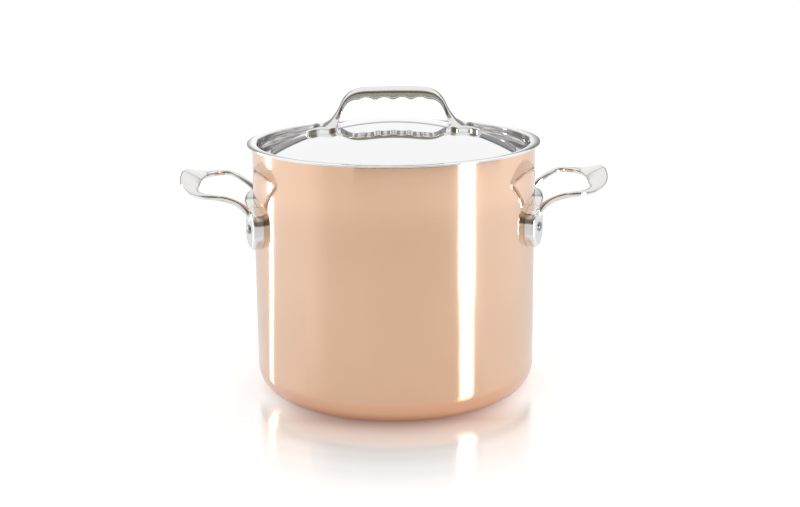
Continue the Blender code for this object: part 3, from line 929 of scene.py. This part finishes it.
def painted_table_light(tree, place, distance, camera_ray):
    """What the polished metal sees of the table: a painted shadow near the pot, warm at its foot, painted
    light rising further out and a painted cool tint to the sides; and a plain lift for the camera.
    """
    glow = ramp(tree, distance, TABLE_PAINTED_SHADOW_AND_LIGHT)
    aside = maths(tree, "ABSOLUTE", parts_of(tree, vector_maths(tree, "NORMALIZE", place))["X"])
    around = vector_maths(tree, "ADD", glow, ramp(tree, aside, TABLE_PAINTED_COOL_LIGHT))
    return blend(tree, camera_ray, around, TABLE_LIFT)


def table_shine(tree, place, distance, camera_ray):
    """How much the table mirrors: for the camera, only in front of the pot and fading with distance."""
    fresnel = node(tree, "ShaderNodeFresnel", {"IOR": TABLE_IOR}).outputs[0]
    near = ramp(tree, distance, [(metres, grey(level)) for metres, level in TABLE_MIRROR])
    front = remap(tree, parts_of(tree, place)["Y"], *MIRROR_FRONT, 0.0, MIRROR_GAIN)
    picture = remap(tree, camera_ray, 0.0, 1.0, 1.0, maths(tree, "MULTIPLY", near, front))
    return maths(tree, "MULTIPLY", fresnel, picture)


def make_table():
    """A glossy white table that keeps the pot's shadow and its faint mirror image; for the metal, the shadow
    near the pot is also painted into the table's glow.
    """
    deselect()
    bpy.ops.mesh.primitive_plane_add(size=TABLE_SIZE, location=(0, 0, -TABLE_GAP))
    table = named("table")
    material = new_material("glossy white table", TABLE_WHITE, 0.0, 0.5)
    tree = material.node_tree
    shader = principled(material)
    shader.inputs["Specular IOR Level"].default_value = 0.0
    rays = node(tree, "ShaderNodeLightPath").outputs
    mirrored = maths(tree, "MAXIMUM", rays["Is Glossy Ray"], rays["Is Transmission Ray"])
    seen = maths(tree, "MAXIMUM", rays["Is Camera Ray"], mirrored)
    tree.links.new(seen, shader.inputs["Emission Strength"])
    place = object_place(tree)
    distance = vector_maths(tree, "LENGTH", place)
    # the table's glow for the metal holds a painted shadow near the pot and painted light further out
    glow = painted_table_light(tree, place, distance, rays["Is Camera Ray"])
    tree.links.new(glow, shader.inputs["Emission Color"])
    gloss = node(tree, "ShaderNodeBsdfGlossy", {"Color": (1, 1, 1, 1), "Roughness": TABLE_ROUGHNESS})
    shine = table_shine(tree, place, distance, rays["Is Camera Ray"])
    mix = node(tree, "ShaderNodeMixShader", {0: shine, 1: shader.outputs[0], 2: gloss.outputs[0]})
    tree.links.new(mix.outputs[0], tree.nodes["Material Output"].inputs["Surface"])
    table.data.materials.append(material)


def make_world():
    """A white room."""
    world = bpy.data.worlds.new("studio")
    bpy.context.scene.world = world
    world.use_nodes = True
    shade = world.node_tree.nodes["Background"]
    shade.inputs["Color"].default_value = (1, 1, 1, 1)
    shade.inputs["Strength"].default_value = 1.0


def only_mirrored(card, material):
    """A card that the polished metal mirrors, and that neither lights nor shades anything."""
    card.data.materials.append(material)
    card.visible_camera = card.visible_diffuse = card.visible_shadow = False


def round_room(degrees):
    """An azimuth from the camera's side, in degrees, as a place on a colour ramp."""
    return 0.5 + degrees / 360


def painted_wall_reflection(tree):
    """Painted reflections for the metal: dim walls as painted shade up to an edge whose height changes round
    the room, darker just under it and brighter higher up, and white above it.
    """
    parts = parts_of(tree, object_place(tree))
    forward = maths(tree, "MULTIPLY", parts["Y"], -1.0)
    azimuth = remap(tree, maths(tree, "ARCTAN2", parts["X"], forward), -pi, pi)
    colour = ramp(tree, azimuth, [(round_room(degrees), shade) for degrees, shade in WALL_COLOURS])
    edge = ramp(tree, azimuth, [(round_room(degrees), grey(top)) for degrees, top in WALL_TOPS])
    height = maths(tree, "MULTIPLY", parts["Z"], 1 / ROOM_RADIUS)
    over = maths(tree, "SUBTRACT", height, edge)
    under_edge = remap(tree, over, *EDGE_BAND, 1.0, EDGE_SHADE)
    upper = remap(tree, height, *UPPER_BAND, 1.0, UPPER_GAIN)
    dim = scaled(tree, colour, maths(tree, "MULTIPLY", under_edge, upper))
    return blend(tree, remap(tree, over, -EDGE_BLUR, EDGE_BLUR), dim, (1, 1, 1))


def make_walls():
    """The walls round the table, which only the metal mirrors, their painted reflections darkest behind the
    camera.
    """
    deselect()
    bpy.ops.mesh.primitive_uv_sphere_add(segments=48, ring_count=24, radius=ROOM_RADIUS, location=(0, 0, 0))
    only_mirrored(named("painted reflection walls"), glowing("painted reflection walls", painted_wall_reflection))


def shade_sheet_glow(tree):
    # the sheet's colours are painted dark reflection for the metal
    return ramp(tree, remap(tree, parts_of(tree, object_place(tree))["Y"], *SHADE_SHEET_DEPTH), SHADE_SHEET_COLOURS)


def make_shade_sheet():
    """A dark sheet on the table, from a little left of the camera's side round to the right, that only the
    metal mirrors: painted dark reflection.
    """
    shade_sheet = draw("shade_sheet", [(SHADE_SHEET_NEAR, 0, SHADE_SHEET_HEIGHT), (SHADE_SHEET_FAR, 0, SHADE_SHEET_HEIGHT)])
    turn(SHADE_SHEET_START, "Z")
    bpy.ops.mesh.spin(steps=24, angle=-SHADE_SHEET_SPREAD, center=(0, 0, 0), axis=(0, 0, 1))
    leave_edit()
    only_mirrored(shade_sheet, glowing("painted dark reflection", shade_sheet_glow))


def make_panel(name, azimuth, distance, width, height, radiance, lean):
    """A soft panel on the table that faces the pot; azimuth runs from the camera's side towards the right."""
    lamp = bpy.data.lights.new(name, "AREA")
    lamp.shape = "RECTANGLE"
    lamp.size, lamp.size_y = width, height
    lamp.energy = radiance * pi * width * height
    panel = bpy.data.objects.new(name, lamp)
    bpy.context.scene.collection.objects.link(panel)
    spot = Vector((sin(azimuth) * distance, -cos(azimuth) * distance, height / 2 * cos(lean)))
    panel.location = spot
    aim = Vector((-spot.x, -spot.y, 0)).to_track_quat("-Z", "Y").to_matrix()
    panel.rotation_euler = (aim @ Matrix.Rotation(lean, 3, "Z")).to_euler()
    panel.visible_camera = panel.visible_diffuse = False


def make_camera():
    """The camera, fitted to the picture that the pot is made from."""
    camera = bpy.data.objects.new("camera", bpy.data.cameras.new("camera"))
    bpy.context.scene.collection.objects.link(camera)
    pitch, yaw, roll = CAMERA_PITCH, CAMERA_YAW, CAMERA_ROLL
    ahead = Vector((sin(yaw) * cos(pitch), cos(yaw) * cos(pitch), -sin(pitch)))
    level = Vector((cos(yaw), -sin(yaw), 0))
    up = level.cross(ahead)
    across = level * cos(roll) + up * sin(roll)
    above = up * cos(roll) - level * sin(roll)
    turned = Matrix((across, above, -ahead)).transposed().to_4x4()
    camera.matrix_world = Matrix.Translation(CAMERA_PLACE) @ turned
    camera.data.sensor_width = FILM_WIDTH
    camera.data.lens = FOCAL_PIXELS / IMAGE_WIDTH * FILM_WIDTH
    camera.data.clip_start = 0.05
    bpy.context.scene.camera = camera


# Build

POLISH = polish_group()
TURNED_LINES = turned_lines_group()

COPPER = polished(
    "mirror copper", COPPER_COLOUR, gloss=0.08, haze=0.03, haze_size=9.0,
    ripple=0.01 * MM, ripple_size=6.0, tint=COPPER_TINT,
)
principled(COPPER).inputs["Coat Weight"].default_value = COAT_WEIGHT
principled(COPPER).inputs["Coat Roughness"].default_value = COAT_ROUGHNESS
LID_STEEL = polished(
    "mirror steel", LID_COLOUR, gloss=0.04, haze=0.03, haze_size=12.0, ripple=0.01 * MM, ripple_size=8.0,
)
darken_gutter_streaks(LID_STEEL, LID_COLOUR, GUTTER_COLOUR)
CAST_STEEL = polished(
    "polished casting", CAST_COLOUR, gloss=0.09, haze=0.06, haze_size=40.0,
    ripple=0.03 * MM, ripple_size=60.0,
)
RIVET_STEEL = polished(
    "rivet steel", RIVET_COLOUR, gloss=0.26, haze=0.10, haze_size=200.0, ripple=0.02 * MM, ripple_size=150.0,
)
LINING_STEEL = turned_metal(
    "turned steel lining", LINING_COLOUR, roughness=0.26, rings=2600.0, depth=0.02 * MM, spread=0.07,
)

dress(model_copper_shell(), "copper_shell", "pot", COPPER)
dress(model_lining(), "steel_lining", "pot", LINING_STEEL)
dress(model_lid_cover(), "lid_cover", "lid", LID_STEEL)
dress(model_lid_handle(), "lid_handle", "lid", CAST_STEEL)

right = model_side_handle("cast_right_handle")
left = copy_of(right, "cast_left_handle")
edit(left)
turn(pi, "Z")
leave_edit()
dress(right, "right_handle", "pot", CAST_STEEL)
dress(left, "left_handle", "pot", CAST_STEEL)

for hand, turned, front in (("right", 0, -1), ("left", pi, 1)):
    for place, side in (("front", front), ("rear", -front)):
        rivet = side_rivet(f"{hand}_{place}_rivet", turned, side)
        dress(rivet, f"{hand}_handle_rivet_{place}", "pot", RIVET_STEEL)
for hand, side in (("left", -1), ("right", 1)):
    dress(lid_rivet(f"{hand}_lid_rivet", side), f"lid_rivet_{hand}", "lid", RIVET_STEEL)

make_table()
make_world()
make_walls()
make_shade_sheet()
make_panel(
    "right strip", azimuth=radians(52.7), distance=0.5, width=0.10, height=0.24, radiance=12.0, lean=0.0,
)
make_panel(
    "left strip", azimuth=radians(-115.5), distance=0.8, width=0.058, height=0.36,
    radiance=16.0, lean=radians(28),
)
make_camera()
bpy.context.scene.view_settings.view_transform = "Standard"
